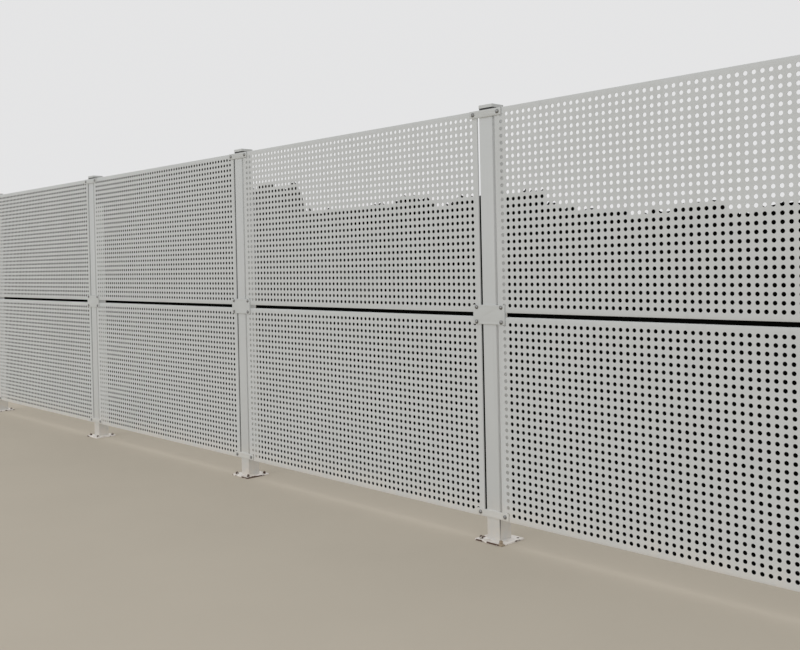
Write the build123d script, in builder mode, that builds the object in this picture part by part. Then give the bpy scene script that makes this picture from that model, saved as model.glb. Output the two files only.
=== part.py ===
"""Perforated site hoarding: four bays of folded, punched sheets clamped to square posts.

Millimetres, +Z up. The fence runs along X and its street side faces -Y. The origin is the
centre of the underside of the middle post's base plate.
"""

from build123d import *
import os

# Bays and posts
bay_count = 4
post_width = 100
post_wall = 4
post_corner = 6
foot_height = 122

# Base plates, with one anchor hole in each corner
plate_width = 200
plate_thickness = 10
anchor_spacing = 150
anchor_hole = 14

# Panels: trays of sheet steel with the edges folded back
sheet = 2
fold_radius = 3
edge_return = 25
side_return = 8
corner_relief = 2
post_gap = 15
slot_height = 25

# Perforation: round holes on a square grid, drawn six-sided
hole_pitch = 40
hole_columns = 58
hole_rows = 28
hole_diameter = 22
hole_sides = 6
side_margin = 48
edge_margin = 42

# One hole in this many is cut along each row and column, an odd number; 1 cuts them all
punch_every = 9

# Clamp plates across the post and both neighbouring panels
clamp_thickness = 6
clamp_corner = 2
clamp_overlap = 53
middle_grip = 43.5
edge_clamp_height = 42
bottom_clamp_rise = 5
bolt_inset = 27
middle_bolt_grip = 29.5
bolt_hole = 11

# Post caps: a lid on a narrower neck, with a hollow spigot in the tube
cap_overhang = 2
cap_height = 19
cap_edge = 4
neck_height = 11
spigot_length = 30
spigot_clearance = 1
spigot_wall = 3

# Sizes that follow from the ones above
panel_width = (hole_columns - 1) * hole_pitch + 2 * side_margin
panel_height = (hole_rows - 1) * hole_pitch + 2 * edge_margin
bay_length = panel_width + 2 * post_gap + post_width
front = -post_width / 2
lower_panel_z = plate_thickness + foot_height
slot_z = lower_panel_z + panel_height
upper_panel_z = slot_z + slot_height
post_top = upper_panel_z + panel_height
clamp_width = post_width + 2 * (post_gap + clamp_overlap)
bolt_spacing = post_width + 2 * (post_gap + bolt_inset)
middle_clamp_z = slot_z - middle_grip
middle_clamp_height = slot_height + 2 * middle_grip
middle_bolt_rows = (slot_z - middle_bolt_grip, upper_panel_z + middle_bolt_grip)
top_clamp_z = post_top - edge_clamp_height
bottom_clamp_z = lower_panel_z + bottom_clamp_rise
top_bolt_row = top_clamp_z + edge_clamp_height / 2
bottom_bolt_row = bottom_clamp_z + edge_clamp_height / 2
post_places = [(number - bay_count / 2) * bay_length for number in range(bay_count + 1)]
panel_places = [(number - (bay_count - 1) / 2) * bay_length for number in range(bay_count)]


def holes_cut(count):
    """How many of a line of holes are cut, so that each one stays in its own place."""
    most = (count - 1) // punch_every + 1
    return most - (count - most) % 2


def write(piece, name):
    """Label a finished piece and write it to its own STEP file."""
    piece.label = name
    export_step(piece, f"parts/{name}.step")


def facing_street(x, y, z):
    """A drawing plane that looks at the fence from the street: x to the right, y up."""
    return Plane(origin=(x, y, z), x_dir=(1, 0, 0), z_dir=(0, -1, 0))


def make_base_plate(x):
    """Square plate on the ground, drilled for four anchors."""
    with BuildPart() as base_plate:
        with BuildSketch(Plane.XY.move(Location((x, 0, 0)))):
            Rectangle(plate_width, plate_width)
            with GridLocations(anchor_spacing, anchor_spacing, 2, 2):
                Circle(anchor_hole / 2, mode=Mode.SUBTRACT)
        extrude(amount=plate_thickness)
    return base_plate.part


def make_post(x):
    """Square tube from the base plate to the top edge of the upper panels."""
    with BuildPart() as post:
        with BuildSketch(Plane.XY.move(Location((x, 0, plate_thickness)))):
            RectangleRounded(post_width, post_width, post_corner)
            Rectangle(post_width - 2 * post_wall, post_width - 2 * post_wall, mode=Mode.SUBTRACT)
        extrude(amount=post_top - plate_thickness)
    return post.part


def make_post_cap(x):
    """Lid with softened edges, on a neck that rests on the tube's rim."""
    lid_width = post_width + 2 * cap_overhang
    neck_width = post_width - post_wall
    spigot_width = post_width - 2 * post_wall - 2 * spigot_clearance
    with BuildPart() as post_cap:
        with BuildSketch(Plane.XY.move(Location((x, 0, post_top + neck_height)))):
            Rectangle(lid_width, lid_width)
        extrude(amount=cap_height)
        upright_edges = post_cap.edges().filter_by(Axis.Z)
        rim_edges = post_cap.faces().sort_by(Axis.Z)[-1].edges()
        chamfer(upright_edges + rim_edges, cap_edge)
        with BuildSketch(Plane.XY.move(Location((x, 0, post_top)))):
            Rectangle(neck_width, neck_width)
        extrude(amount=neck_height)
        with BuildSketch(Plane.XY.move(Location((x, 0, post_top)))):
            Rectangle(spigot_width, spigot_width)
            Rectangle(spigot_width - 2 * spigot_wall, spigot_width - 2 * spigot_wall, mode=Mode.SUBTRACT)
        extrude(amount=-spigot_length)
    return post_cap.part


def make_clamp(x, z, height, bolt_rows):
    """Flat plate with clipped corners, welded to the post, with square holes at each bolt level."""
    with BuildPart() as clamp:
        with BuildSketch(facing_street(x, front, z + height / 2)):
            Rectangle(clamp_width, height)
        extrude(amount=clamp_thickness)
        chamfer(clamp.edges().filter_by(Axis.Y), clamp_corner)
        for row in bolt_rows:
            with BuildSketch(facing_street(x, front, row)):
                with GridLocations(bolt_spacing, 0, 2, 1):
                    Rectangle(bolt_hole, bolt_hole)
            extrude(amount=clamp_thickness, mode=Mode.SUBTRACT)
    return clamp.part


def draw_channel(width, depth):
    """Draw a channel's cross-section: a web of this width with both edges folded back."""
    outer = width / 2
    inner = outer - sheet
    with BuildLine() as outline:
        FilletPolyline((-outer, depth), (-outer, 0), (outer, 0), (outer, depth), radius=fold_radius)
        Polyline((outer, depth), (inner, depth), (inner, sheet), (-inner, sheet), (-inner, depth), (-outer, depth))
    make_face(outline.edges())


def make_panel(x, z, bolt_rows):
    """Folded tray with notched corners, bolt holes at its corners and the punched field."""
    notch = fold_radius + corner_relief
    centre_z = z + panel_height / 2
    side_plane = Plane(origin=(x, front, centre_z), x_dir=(0, 0, 1), z_dir=(-1, 0, 0))
    end_plane = Plane(origin=(x, front, centre_z), x_dir=(1, 0, 0), z_dir=(0, 0, 1))
    with BuildPart() as panel:
        with BuildSketch(side_plane):
            draw_channel(panel_height, edge_return)
        extrude(amount=panel_width / 2 - notch, both=True)
        with BuildSketch(end_plane):
            draw_channel(panel_width, side_return)
        extrude(amount=panel_height / 2 - notch, both=True)
        for row in bolt_rows:
            with BuildSketch(facing_street(x, front, row)):
                with GridLocations(panel_width - 2 * bolt_inset, 0, 2, 1):
                    Rectangle(bolt_hole, bolt_hole)
            extrude(amount=-sheet, mode=Mode.SUBTRACT)
        step = hole_pitch * punch_every
        with BuildSketch(facing_street(x, front, centre_z)):
            with GridLocations(step, step, holes_cut(hole_columns), holes_cut(hole_rows)):
                RegularPolygon(hole_diameter / 2, hole_sides)
        extrude(amount=-sheet, mode=Mode.SUBTRACT)
    return panel.part


os.makedirs("parts", exist_ok=True)

for number, place in enumerate(post_places, 1):
    write(make_base_plate(place), f"base_plate_{number}")
    write(make_post(place), f"post_{number}")
    write(make_post_cap(place), f"post_cap_{number}")
    write(make_clamp(place, bottom_clamp_z, edge_clamp_height, [bottom_bolt_row]), f"bottom_clamp_{number}")
    write(make_clamp(place, middle_clamp_z, middle_clamp_height, middle_bolt_rows), f"middle_clamp_{number}")
    write(make_clamp(place, top_clamp_z, edge_clamp_height, [top_bolt_row]), f"top_clamp_{number}")

for number, place in enumerate(panel_places, 1):
    write(make_panel(place, lower_panel_z, [bottom_bolt_row, middle_bolt_rows[0]]), f"lower_panel_{number}")
    write(make_panel(place, upper_panel_z, [middle_bolt_rows[1], top_bolt_row]), f"upper_panel_{number}")
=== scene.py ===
"""Dress the perforated site hoarding: four bays of folded, punched panels on square posts.

Metres, +Z up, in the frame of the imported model. The fence runs along X and its street side
faces -Y. Posts count from 1 to 5 and bays from 1 to 4, from left to right seen from the street.
"""

import logging
import math
from dataclasses import dataclass, replace
from enum import Enum

import bmesh
import bpy
from mathutils import Matrix, Vector, noise


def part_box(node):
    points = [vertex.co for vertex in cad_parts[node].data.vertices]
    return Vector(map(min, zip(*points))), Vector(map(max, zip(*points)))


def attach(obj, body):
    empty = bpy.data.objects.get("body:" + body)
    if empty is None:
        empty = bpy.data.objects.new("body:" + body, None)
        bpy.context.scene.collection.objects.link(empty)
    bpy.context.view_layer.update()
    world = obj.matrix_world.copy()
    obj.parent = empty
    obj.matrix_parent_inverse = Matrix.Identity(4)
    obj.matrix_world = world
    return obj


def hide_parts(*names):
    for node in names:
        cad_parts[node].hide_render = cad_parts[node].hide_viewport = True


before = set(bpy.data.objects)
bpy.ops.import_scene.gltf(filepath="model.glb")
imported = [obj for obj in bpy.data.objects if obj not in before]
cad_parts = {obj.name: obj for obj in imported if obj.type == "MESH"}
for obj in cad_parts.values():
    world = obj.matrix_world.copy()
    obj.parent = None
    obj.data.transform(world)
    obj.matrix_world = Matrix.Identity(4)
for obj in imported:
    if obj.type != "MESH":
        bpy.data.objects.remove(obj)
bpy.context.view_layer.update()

log = logging.getLogger("hoarding")

MM = 0.001
POST_COUNT = 5
BAY_COUNT = POST_COUNT - 1
HEXAGON = 6

# Places closer than this, in metres, are one place
NEAR = 1e-6

# Faces that meet at more than this have a sharp edge between them, or a square one
SHARP_ANGLE = math.radians(38)
SQUARE_ANGLE = 1.0

# The sockets that a Mix node has for colours: its factor and both colours, and its result
MIX_INPUTS = (0, 6, 7)
MIX_RESULT = 2

UP = Vector((0, 0, 1))
TO_STREET = Vector((0, -1, 0))

# A colour's three channels, and what a node's input takes: an output, a number or a colour
Triple = tuple[float, float, float]
Colour = Triple
Value = object


class Level(Enum):
    """The two panels stacked in each bay."""

    LOWER = "lower_panel"
    UPPER = "upper_panel"


class Clamp(Enum):
    """The three clamp plates of a post."""

    BOTTOM = "bottom_clamp"
    MIDDLE = "middle_clamp"
    TOP = "top_clamp"


class Slot(Enum):
    """The record's material slots."""

    PANEL = "panel_coat"
    POST = "post_coat"
    CLAMP = "clamp_coat"
    PLATE = "plate_coat"
    CAP = "cap_coat"


# Node building


@dataclass(frozen=True)
class Patches:
    """A noise pattern cut into patches with soft edges.

    Args:
        scale: How fine it is; its features are about 1 / scale metres wide.
        detail: How many finer layers it has.
        low: The noise value at which a patch starts.
        high: The noise value from which it is full.
        outside: The result outside the patches.
        inside: The result inside them.
    """

    scale: float
    detail: float
    low: float
    high: float
    outside: float = 0.0
    inside: float = 1.0


@dataclass(frozen=True)
class Relief:
    """The fine unevenness of a surface.

    Args:
        scale: How fine it is; its features are about 1 / scale metres wide.
        detail: How many finer layers it has.
        depth: How far it rises, in metres.
        strength: How strongly it shows, from 0 to 1.
    """

    scale: float
    detail: float
    depth: float
    strength: float


@dataclass
class NodeBench:
    """A node tree under construction, with short ways to add and link its nodes.

    Args:
        tree: The tree of a material or a world.
        place: The coordinates that its patterns read.
    """

    tree: bpy.types.NodeTree
    place: bpy.types.NodeSocket = None

    def node(self, kind: str, **settings: Value) -> bpy.types.Node:
        """Add a node and set its properties.

        Args:
            kind: The node's type.
            settings: Its properties by name.

        Returns:
            The new node.
        """
        made = self.tree.nodes.new(kind)
        for key, value in settings.items():
            setattr(made, key, value)
        return made

    def feed(self, socket: bpy.types.NodeSocket, value: Value) -> None:
        """Link an output to a socket, or set the socket to a plain value.

        Args:
            socket: The input to feed.
            value: An output, a number or a colour.
        """
        if isinstance(value, bpy.types.NodeSocket):
            self.tree.links.new(value, socket)
        elif socket.type == "RGBA":
            socket.default_value = (*value, 1.0)
        else:
            socket.default_value = value

    def stretched(self, scale: Triple) -> bpy.types.NodeSocket:
        """Scale the coordinates apart along X, Y and Z.

        Args:
            scale: The factor along each axis.

        Returns:
            The scaled coordinates.
        """
        mapping = self.node("ShaderNodeMapping")
        self.feed(mapping.inputs["Vector"], self.place)
        mapping.inputs["Scale"].default_value = scale
        return mapping.outputs["Vector"]

    def distance(self, point: Vector, in_plan: bool = False) -> bpy.types.NodeSocket:
        """Measure how far each place lies from a point.

        Args:
            point: The point.
            in_plan: Whether it is measured as seen from above.

        Returns:
            The distance.
        """
        made = self.node("ShaderNodeVectorMath", operation="DISTANCE")
        self.feed(made.inputs[0], self.stretched((1.0, 1.0, 0.0)) if in_plan else self.place)
        made.inputs[1].default_value = (point.x, point.y, 0.0 if in_plan else point.z)
        return made.outputs["Value"]

    def noise(self, scale: float, detail: float, vector: Value = None) -> bpy.types.NodeSocket:
        """Add a noise pattern.

        Args:
            scale: How fine it is; its features are about 1 / scale wide.
            detail: How many finer layers it has.
            vector: What it reads in place of the coordinates.

        Returns:
            The noise, from 0 to 1.
        """
        made = self.node("ShaderNodeTexNoise")
        self.feed(made.inputs["Vector"], vector or self.place)
        made.inputs["Scale"].default_value = scale
        made.inputs["Detail"].default_value = detail
        return made.outputs["Fac"]

    def band(
        self, value: Value, low: float, high: float, to_low: float = 0.0, to_high: float = 1.0
    ) -> bpy.types.NodeSocket:
        """Map a value from one range to another, smoothly and clamped.

        Args:
            value: The value.
            low: Where its range starts.
            high: Where its range ends.
            to_low: The result at the start.
            to_high: The result at the end.

        Returns:
            The mapped value.
        """
        made = self.node("ShaderNodeMapRange", interpolation_type="SMOOTHSTEP")
        for key, number in zip(("From Min", "From Max", "To Min", "To Max"), (low, high, to_low, to_high)):
            made.inputs[key].default_value = number
        self.feed(made.inputs["Value"], value)
        return made.outputs["Result"]

    def patches(self, pattern: Patches, vector: Value = None) -> bpy.types.NodeSocket:
        """Lay a pattern of patches, on the coordinates or on a vector."""
        noisy = self.noise(pattern.scale, pattern.detail, vector)
        return self.band(noisy, pattern.low, pattern.high, pattern.outside, pattern.inside)

    def maths(self, operation: str, first: Value, second: Value) -> bpy.types.NodeSocket:
        """Combine two values.

        Args:
            operation: What is done with them.
            first: The first value.
            second: The second value.

        Returns:
            The result.
        """
        made = self.node("ShaderNodeMath", operation=operation)
        self.feed(made.inputs[0], first)
        self.feed(made.inputs[1], second)
        return made.outputs[0]

    def mix(self, factor: Value, first: Value, second: Value) -> bpy.types.NodeSocket:
        """Mix two colours.

        Args:
            factor: The share of the second colour.
            first: The first colour.
            second: The second colour.

        Returns:
            The mixed colour.
        """
        made = self.node("ShaderNodeMix", data_type="RGBA")
        for number, value in zip(MIX_INPUTS, (factor, first, second)):
            self.feed(made.inputs[number], value)
        return made.outputs[MIX_RESULT]

    def axis(self, name: str, vector: Value = None) -> bpy.types.NodeSocket:
        """Take one of the three parts of a vector.

        Args:
            name: The part, X, Y or Z.
            vector: The vector, or nothing for the coordinates.

        Returns:
            The part.
        """
        split = self.node("ShaderNodeSeparateXYZ")
        self.feed(split.inputs[0], vector or self.place)
        return split.outputs[name]


class Surface(NodeBench):
    """A Principled material under construction that reads Object coordinates."""

    def __init__(self, name: str) -> None:
        """Start an empty material.

        Args:
            name: The material's name.
        """
        self.material = bpy.data.materials.new(name)
        self.material.use_nodes = True
        super().__init__(self.material.node_tree)
        self.place = self.node("ShaderNodeTexCoord").outputs["Object"]
        self.shader = self.tree.nodes["Principled BSDF"]

    def facing(self, name: str) -> bpy.types.NodeSocket:
        """How far a face looks along an axis, from -1 to 1."""
        return self.axis(name, self.node("ShaderNodeNewGeometry").outputs["Normal"])

    def finish(self, colour: Value, roughness: Value, metallic: float = 0.0) -> bpy.types.Material:
        """Set the surface's main values.

        Args:
            colour: Its colour.
            roughness: Its roughness.
            metallic: How metallic it is.

        Returns:
            The finished material.
        """
        self.feed(self.shader.inputs["Base Color"], colour)
        self.feed(self.shader.inputs["Roughness"], roughness)
        self.shader.inputs["Metallic"].default_value = metallic
        return self.material

    def bump(self, height: Value, relief: Relief) -> None:
        """Raise the surface by a height value.

        Args:
            height: The value, from 0 to 1.
            relief: How far it rises and how strongly it shows.
        """
        made = self.node("ShaderNodeBump")
        made.inputs["Strength"].default_value = relief.strength
        made.inputs["Distance"].default_value = relief.depth
        self.feed(made.inputs["Height"], height)
        self.feed(self.shader.inputs["Normal"], made.outputs["Normal"])

    def emboss(self, relief: Relief) -> None:
        """Raise the surface by a relief's own noise."""
        self.bump(self.noise(relief.scale, relief.detail), relief)


# Finishes


SOIL: Colour = (0.36, 0.29, 0.21)
RAIN_STREAKS = Patches(1.0, 5.0, 0.52, 0.78, inside=0.24)


@dataclass(frozen=True)
class DarkEdgeLine:
    """A dark line down an upright edge, darkest at its top.

    Args:
        top: The point on the edge where the line starts.
        length: How far down it runs, in metres.
        core: How far from the edge it is at its darkest.
        reach: How far from the edge it ends.
        rise: How far above the point it begins.
        left: How much of it is left at its lower end.
    """

    top: Vector
    length: float
    core: float = 1.4 * MM
    reach: float = 4.2 * MM
    rise: float = 2 * MM
    left: float = 0.3

    def mask(self, coat: Surface) -> bpy.types.NodeSocket:
        """Work out how dark the line is at each point.

        Args:
            coat: The surface that it lies on.

        Returns:
            The amount, from 0 to 1.
        """
        near = coat.band(coat.distance(self.top, in_plan=True), self.core, self.reach, 1.0, 0.0)
        height = coat.axis("Z")
        fading = coat.band(height, self.top.z - self.length, self.top.z, self.left, 1.0)
        below = coat.band(height, self.top.z, self.top.z + self.rise, 1.0, 0.0)
        return coat.maths("MULTIPLY", coat.maths("MULTIPLY", near, fading), below)


@dataclass(frozen=True)
class PowderCoat:
    """Satin powder coat on steel, with dust near the ground, faint rain streaks and painted shade that
    darkens its upper part.

    Args:
        name: The material's name.
        colour: The clean coat.
        soiled_and_shaded: What share of the clean colour is left where the coat is dull and where painted
            shade darkens it.
        clouds: The slow drift of its colour.
        streaks: The rain streaks, before they are drawn out.
        streak_stretch: How the streaks are drawn out upright.
        top_shade: How much darker the coat is painted in the fence's upper part, as painted shade.
        top_shade_from: The height at which that painted shade starts, in metres.
        top_shade_to: The height from which it stays full.
        specks: Fine dark specks.
        dust: The colour of the ground's dust.
        dust_height: How high the dust reaches, in metres.
        dust_patches: Where it lies thin or thick.
        grain: The coat's fine unevenness.
        roughness: Its roughness.
        line_colour: The colour of its dark lines.
        lines: The dark lines on it.
    """

    name: str
    colour: Colour
    soiled_and_shaded: float = 0.8
    clouds: Patches = Patches(1.7, 4.0, 0.35, 0.7, inside=0.12)
    streaks: Patches = RAIN_STREAKS
    streak_stretch: Triple = (34.0, 34.0, 0.9)
    top_shade: float = 0.25
    top_shade_from: float = 0.3
    top_shade_to: float = 1.6
    specks: Patches = Patches(420.0, 2.0, 0.66, 0.8, inside=0.25)
    dust: Colour = (0.74, 0.69, 0.62)
    dust_height: float = 0.32
    dust_patches: Patches = Patches(11.0, 6.0, 0.3, 0.66, 0.35, 0.85)
    grain: Relief = Relief(650.0, 2.0, 0.05 * MM, 0.35)
    roughness: Patches = Patches(7.0, 4.0, 0.3, 0.7, 0.42, 0.56)
    line_colour: Colour = (0.045, 0.042, 0.038)
    lines: tuple[DarkEdgeLine, ...] = ()

    def material(self) -> bpy.types.Material:
        """Build the coat's nodes.

        Returns:
            The finished material.
        """
        coat = Surface(self.name)
        soiled_and_shaded = tuple(channel * self.soiled_and_shaded for channel in self.colour)
        height = coat.axis("Z")
        streaked = coat.patches(self.streaks, coat.stretched(self.streak_stretch))
        # Painted shade: the coat is darkened towards the top of the fence
        upper = coat.band(height, self.top_shade_from, self.top_shade_to, 0.0, self.top_shade)
        # The dull share: drifting tone and rain streaks, with the painted shade above
        dull = coat.maths("ADD", coat.patches(self.clouds), coat.maths("ADD", streaked, upper))
        colour = coat.mix(dull, self.colour, soiled_and_shaded)
        colour = coat.mix(coat.patches(self.specks), colour, soiled_and_shaded)
        low = coat.band(height, 0.0, self.dust_height, 1.0, 0.0)
        dusty = coat.maths("MULTIPLY", low, coat.patches(self.dust_patches))
        colour = coat.mix(dusty, colour, self.dust)
        for line in self.lines:
            colour = coat.mix(line.mask(coat), colour, self.line_colour)
        coat.emboss(self.grain)
        return coat.finish(colour, coat.patches(self.roughness))


@dataclass(frozen=True)
class SoilHeap:
    """Soil that lies ragged round a point of the base.

    Args:
        centre: The point.
        reach: How far the soil goes, in metres.
        colour: The soil's colour.
        scale: How fine its ragged edge is.
        detail: How many finer layers the edge has.
        fringe: How far its last crumbs lie, as a multiple of its reach.
    """

    centre: Vector
    reach: float = 50 * MM
    colour: Colour = SOIL
    scale: float = 45.0
    detail: float = 6.0
    fringe: float = 1.2

    def over(self, surface: Surface, colour: Value) -> bpy.types.NodeSocket:
        """Cover a surface's colour with the soil.

        Args:
            surface: The surface.
            colour: Its colour so far.

        Returns:
            The colour with the soil on it.
        """
        ragged = surface.maths("MULTIPLY", surface.noise(self.scale, self.detail), self.reach)
        away = surface.maths("ADD", surface.distance(self.centre), ragged)
        mask = surface.band(away, self.reach, self.reach * self.fringe, 1.0, 0.0)
        return surface.mix(mask, colour, self.colour)


@dataclass(frozen=True)
class SplashedPlate:
    """A base plate slopped with whitish paint and worn to rust, most of all at its edges, with rust and
    painted shade darkening its open anchor hole.

    Args:
        heap: The soil on one of its corners.
        open_hole: The middle of the hole that has no anchor, rusty inside and darkened there as painted
            shade.
        hole_rim: The hole's radius with its rim of rust and painted shade, in metres.
        hole_fringe: How far that rust and painted shade fade out, as a multiple of the radius.
        hole_rust_and_shade: How thick it is.
        name: The material's name.
        paint: The paint's colour.
        rust: The rust's colour.
        soiling: Where soil tints the paint.
        wear: Where the paint is worn off.
        edge_wear: How much more it is worn on the plate's edges.
        edge_tilt: How far a face looks up where that wear is full, and where it has ended.
        flakes: The relief of paint and rust.
        roughness: The plate's roughness.
    """

    heap: SoilHeap
    open_hole: Vector
    hole_rim: float = 7.6 * MM
    hole_fringe: float = 1.15
    hole_rust_and_shade: float = 0.9
    name: str = "splashed_plate"
    paint: Colour = (0.82, 0.785, 0.745)
    rust: Colour = (0.10, 0.055, 0.035)
    soiling: Patches = Patches(26.0, 5.0, 0.42, 0.72, inside=0.4)
    wear: Patches = Patches(13.0, 9.0, 0.61, 0.66)
    edge_wear: float = 0.14
    edge_tilt: tuple[float, float] = (0.3, 0.8)
    flakes: Relief = Relief(90.0, 6.0, 0.7 * MM, 0.8)
    roughness: Patches = Patches(60.0, 5.0, 0.3, 0.7, 0.55, 0.85)

    def material(self) -> bpy.types.Material:
        """Build the plate's nodes.

        Returns:
            The finished material.
        """
        plate = Surface(self.name)
        colour = plate.mix(plate.patches(self.soiling), self.paint, self.heap.colour)
        edge = plate.band(plate.facing("Z"), *self.edge_tilt, self.edge_wear, 0.0)
        worn = plate.maths("ADD", plate.noise(self.wear.scale, self.wear.detail), edge)
        rusty = plate.band(worn, self.wear.low, self.wear.high)
        colour = plate.mix(rusty, colour, self.rust)
        # Rust with painted shade inside the open anchor hole and round its rim
        away = plate.distance(self.open_hole, in_plan=True)
        inside = plate.band(away, self.hole_rim, self.hole_rim * self.hole_fringe, self.hole_rust_and_shade, 0.0)
        colour = self.heap.over(plate, plate.mix(inside, colour, self.rust))
        flaky = plate.noise(self.flakes.scale, self.flakes.detail)
        plate.bump(plate.maths("SUBTRACT", flaky, rusty), self.flakes)
        return plate.finish(colour, plate.patches(self.roughness))


@dataclass(frozen=True)
class RustySteel:
    """Anchor steel with brown rust and dabs of the plate's paint.

    Args:
        heap: The soil that lies on one of the anchors.
        name: The material's name.
        rust: The lighter rust.
        dark: The darker rust.
        paint: The dabs' colour.
        rusting: Where the lighter rust is.
        dabs: Where the dabs are.
        pits: The rust's relief.
        rust_roughness: How rough the rust is.
        paint_roughness: How rough the dabs are.
    """

    heap: SoilHeap
    name: str = "rusty_steel"
    rust: Colour = (0.115, 0.055, 0.032)
    dark: Colour = (0.035, 0.026, 0.022)
    paint: Colour = (0.58, 0.55, 0.50)
    rusting: Patches = Patches(300.0, 6.0, 0.35, 0.65)
    dabs: Patches = Patches(75.0, 4.0, 0.54, 0.6)
    pits: Relief = Relief(700.0, 6.0, 0.25 * MM, 0.9)
    rust_roughness: float = 0.85
    paint_roughness: float = 0.6

    def material(self) -> bpy.types.Material:
        """Build the rust's nodes.

        Returns:
            The finished material.
        """
        steel = Surface(self.name)
        colour = steel.mix(steel.patches(self.rusting), self.dark, self.rust)
        dabs = steel.patches(self.dabs)
        colour = self.heap.over(steel, steel.mix(dabs, colour, self.paint))
        steel.emboss(self.pits)
        return steel.finish(colour, steel.band(dabs, 0.0, 1.0, self.rust_roughness, self.paint_roughness))


@dataclass(frozen=True)
class WornFinish:
    """A finish that has changed from one colour to another in patches.

    Args:
        name: The material's name.
        colour: Its colour.
        worn: Its colour where it has changed.
        wear: Where it has changed.
        grain: Its fine unevenness.
        roughness: Its roughness.
        metallic: How metallic it is.
    """

    name: str
    colour: Colour
    worn: Colour
    wear: Patches
    grain: Relief
    roughness: Patches
    metallic: float = 0.0

    def material(self) -> bpy.types.Material:
        """Build the finish's nodes.

        Returns:
            The finished material.
        """
        surface = Surface(self.name)
        surface.emboss(self.grain)
        colour = surface.mix(surface.patches(self.wear), self.colour, self.worn)
        return surface.finish(colour, surface.patches(self.roughness), self.metallic)


# The sheet's cut edges and the walls of its holes, darker than the coat as painted shade
SHADED_CUT_EDGE = WornFinish(
    name="shaded_cut_edge",
    colour=(0.36, 0.36, 0.35),
    worn=(0.22, 0.21, 0.19),
    wear=Patches(60.0, 5.0, 0.35, 0.65),
    grain=Relief(900.0, 2.0, 0.04 * MM, 0.4),
    roughness=Patches(90.0, 3.0, 0.3, 0.7, 0.6, 0.8),
)

# Zinc on the clamp bolts, dulled unevenly by the weather
ZINC_STEEL = WornFinish(
    name="zinc_steel",
    colour=(0.34, 0.34, 0.335),
    worn=(0.13, 0.13, 0.127),
    wear=Patches(160.0, 5.0, 0.38, 0.68),
    grain=Relief(900.0, 3.0, 0.06 * MM, 0.5),
    roughness=Patches(240.0, 4.0, 0.3, 0.7, 0.32, 0.5),
    metallic=0.9,
)

# The black plastic of the caps' necks and the bolts' seals, with some dust on it; its near-black also paints
# the shade in the groove under each lid and under each bolt head
SHADE_DARK_PLASTIC = WornFinish(
    name="shade_dark_plastic",
    colour=(0.018, 0.018, 0.019),
    worn=(0.06, 0.058, 0.054),
    wear=Patches(120.0, 4.0, 0.4, 0.7, inside=0.5),
    grain=Relief(1400.0, 2.0, 0.04 * MM, 0.4),
    roughness=Patches(200.0, 3.0, 0.3, 0.7, 0.5, 0.65),
)


# Mesh helpers


def verts_in(geometry: list) -> list[bmesh.types.BMVert]:
    """The vertices among an operator's results."""
    return [part for part in geometry if isinstance(part, bmesh.types.BMVert)]


def edges_in(geometry: list) -> list[bmesh.types.BMEdge]:
    """The edges among an operator's results."""
    return [part for part in geometry if isinstance(part, bmesh.types.BMEdge)]


def faces_round(verts: list[bmesh.types.BMVert]) -> list[bmesh.types.BMFace]:
    """The faces that meet at some vertices."""
    return list({face for vert in verts for face in vert.link_faces})


def give_second_finish(verts: list[bmesh.types.BMVert]) -> None:
    """Give the faces round some vertices the second of the piece's materials."""
    for face in faces_round(verts):
        face.material_index = 1


def face_towards(bm: bmesh.types.BMesh, faces: list[bmesh.types.BMFace], direction: Vector) -> None:
    """Turn a sheet of faces over if its first one looks away from a direction.

    Args:
        bm: The mesh that they are in.
        faces: The sheet's faces, which all look to the same side of it.
        direction: Where they should look.
    """
    bm.normal_update()
    if faces[0].normal.dot(direction) < 0:
        bmesh.ops.reverse_faces(bm, faces=faces)


def add_line(
    bm: bmesh.types.BMesh, corners: list[tuple[float, float]], closed: bool = True
) -> list[bmesh.types.BMEdge]:
    """Draw a line of straight edges in the XY plane.

    Args:
        bm: The mesh to draw in.
        corners: The line's corners in order.
        closed: Whether it runs back to its start.

    Returns:
        The line's edges.
    """
    verts = [bm.verts.new((x, y, 0.0)) for x, y in corners]
    ends = verts[1:] + verts[:1] if closed else verts[1:]
    return [bm.edges.new(pair) for pair in zip(verts, ends)]


def add_block(bm: bmesh.types.BMesh, low: Vector, high: Vector) -> list[bmesh.types.BMVert]:
    """Add a block between two corners and return its vertices."""
    place = Matrix.Translation((low + high) / 2) @ Matrix.Diagonal((*(high - low), 1.0))
    return bmesh.ops.create_cube(bm, size=1.0, matrix=place)["verts"]


def add_drum(
    bm: bmesh.types.BMesh, sides: int, radius: float, foot: float, top: float
) -> list[bmesh.types.BMVert]:
    """Add a closed drum on the Z axis.

    Args:
        bm: The mesh to add to.
        sides: How many sides it has.
        radius: Its radius, out to its corners.
        foot: The height of its lower end.
        top: The height of its upper end.

    Returns:
        The drum's vertices.
    """
    place = Matrix.Translation((0, 0, (foot + top) / 2))
    return bmesh.ops.create_cone(
        bm, cap_ends=True, segments=sides, radius1=radius, radius2=radius, depth=top - foot, matrix=place
    )["verts"]


def soften(bm: bmesh.types.BMesh, edges: list[bmesh.types.BMEdge], width: float, segments: int) -> None:
    """Round edges over.

    Args:
        bm: The mesh that they are in.
        edges: The edges.
        width: How much is taken off them.
        segments: How many steps the rounding has.
    """
    bmesh.ops.bevel(
        bm, geom=edges, offset=width, segments=segments, profile=0.5, affect="EDGES", material=-1
    )


def rim_at(bm: bmesh.types.BMesh, height: float) -> list[bmesh.types.BMEdge]:
    """Find the square edges that lie at a height.

    Args:
        bm: The mesh to look in.
        height: The height.

    Returns:
        The edges.
    """
    bm.normal_update()
    level = [edge for edge in bm.edges if all(abs(vert.co.z - height) < NEAR for vert in edge.verts)]
    return [edge for edge in level if edge.calc_face_angle(0.0) > SQUARE_ANGLE]


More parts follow.
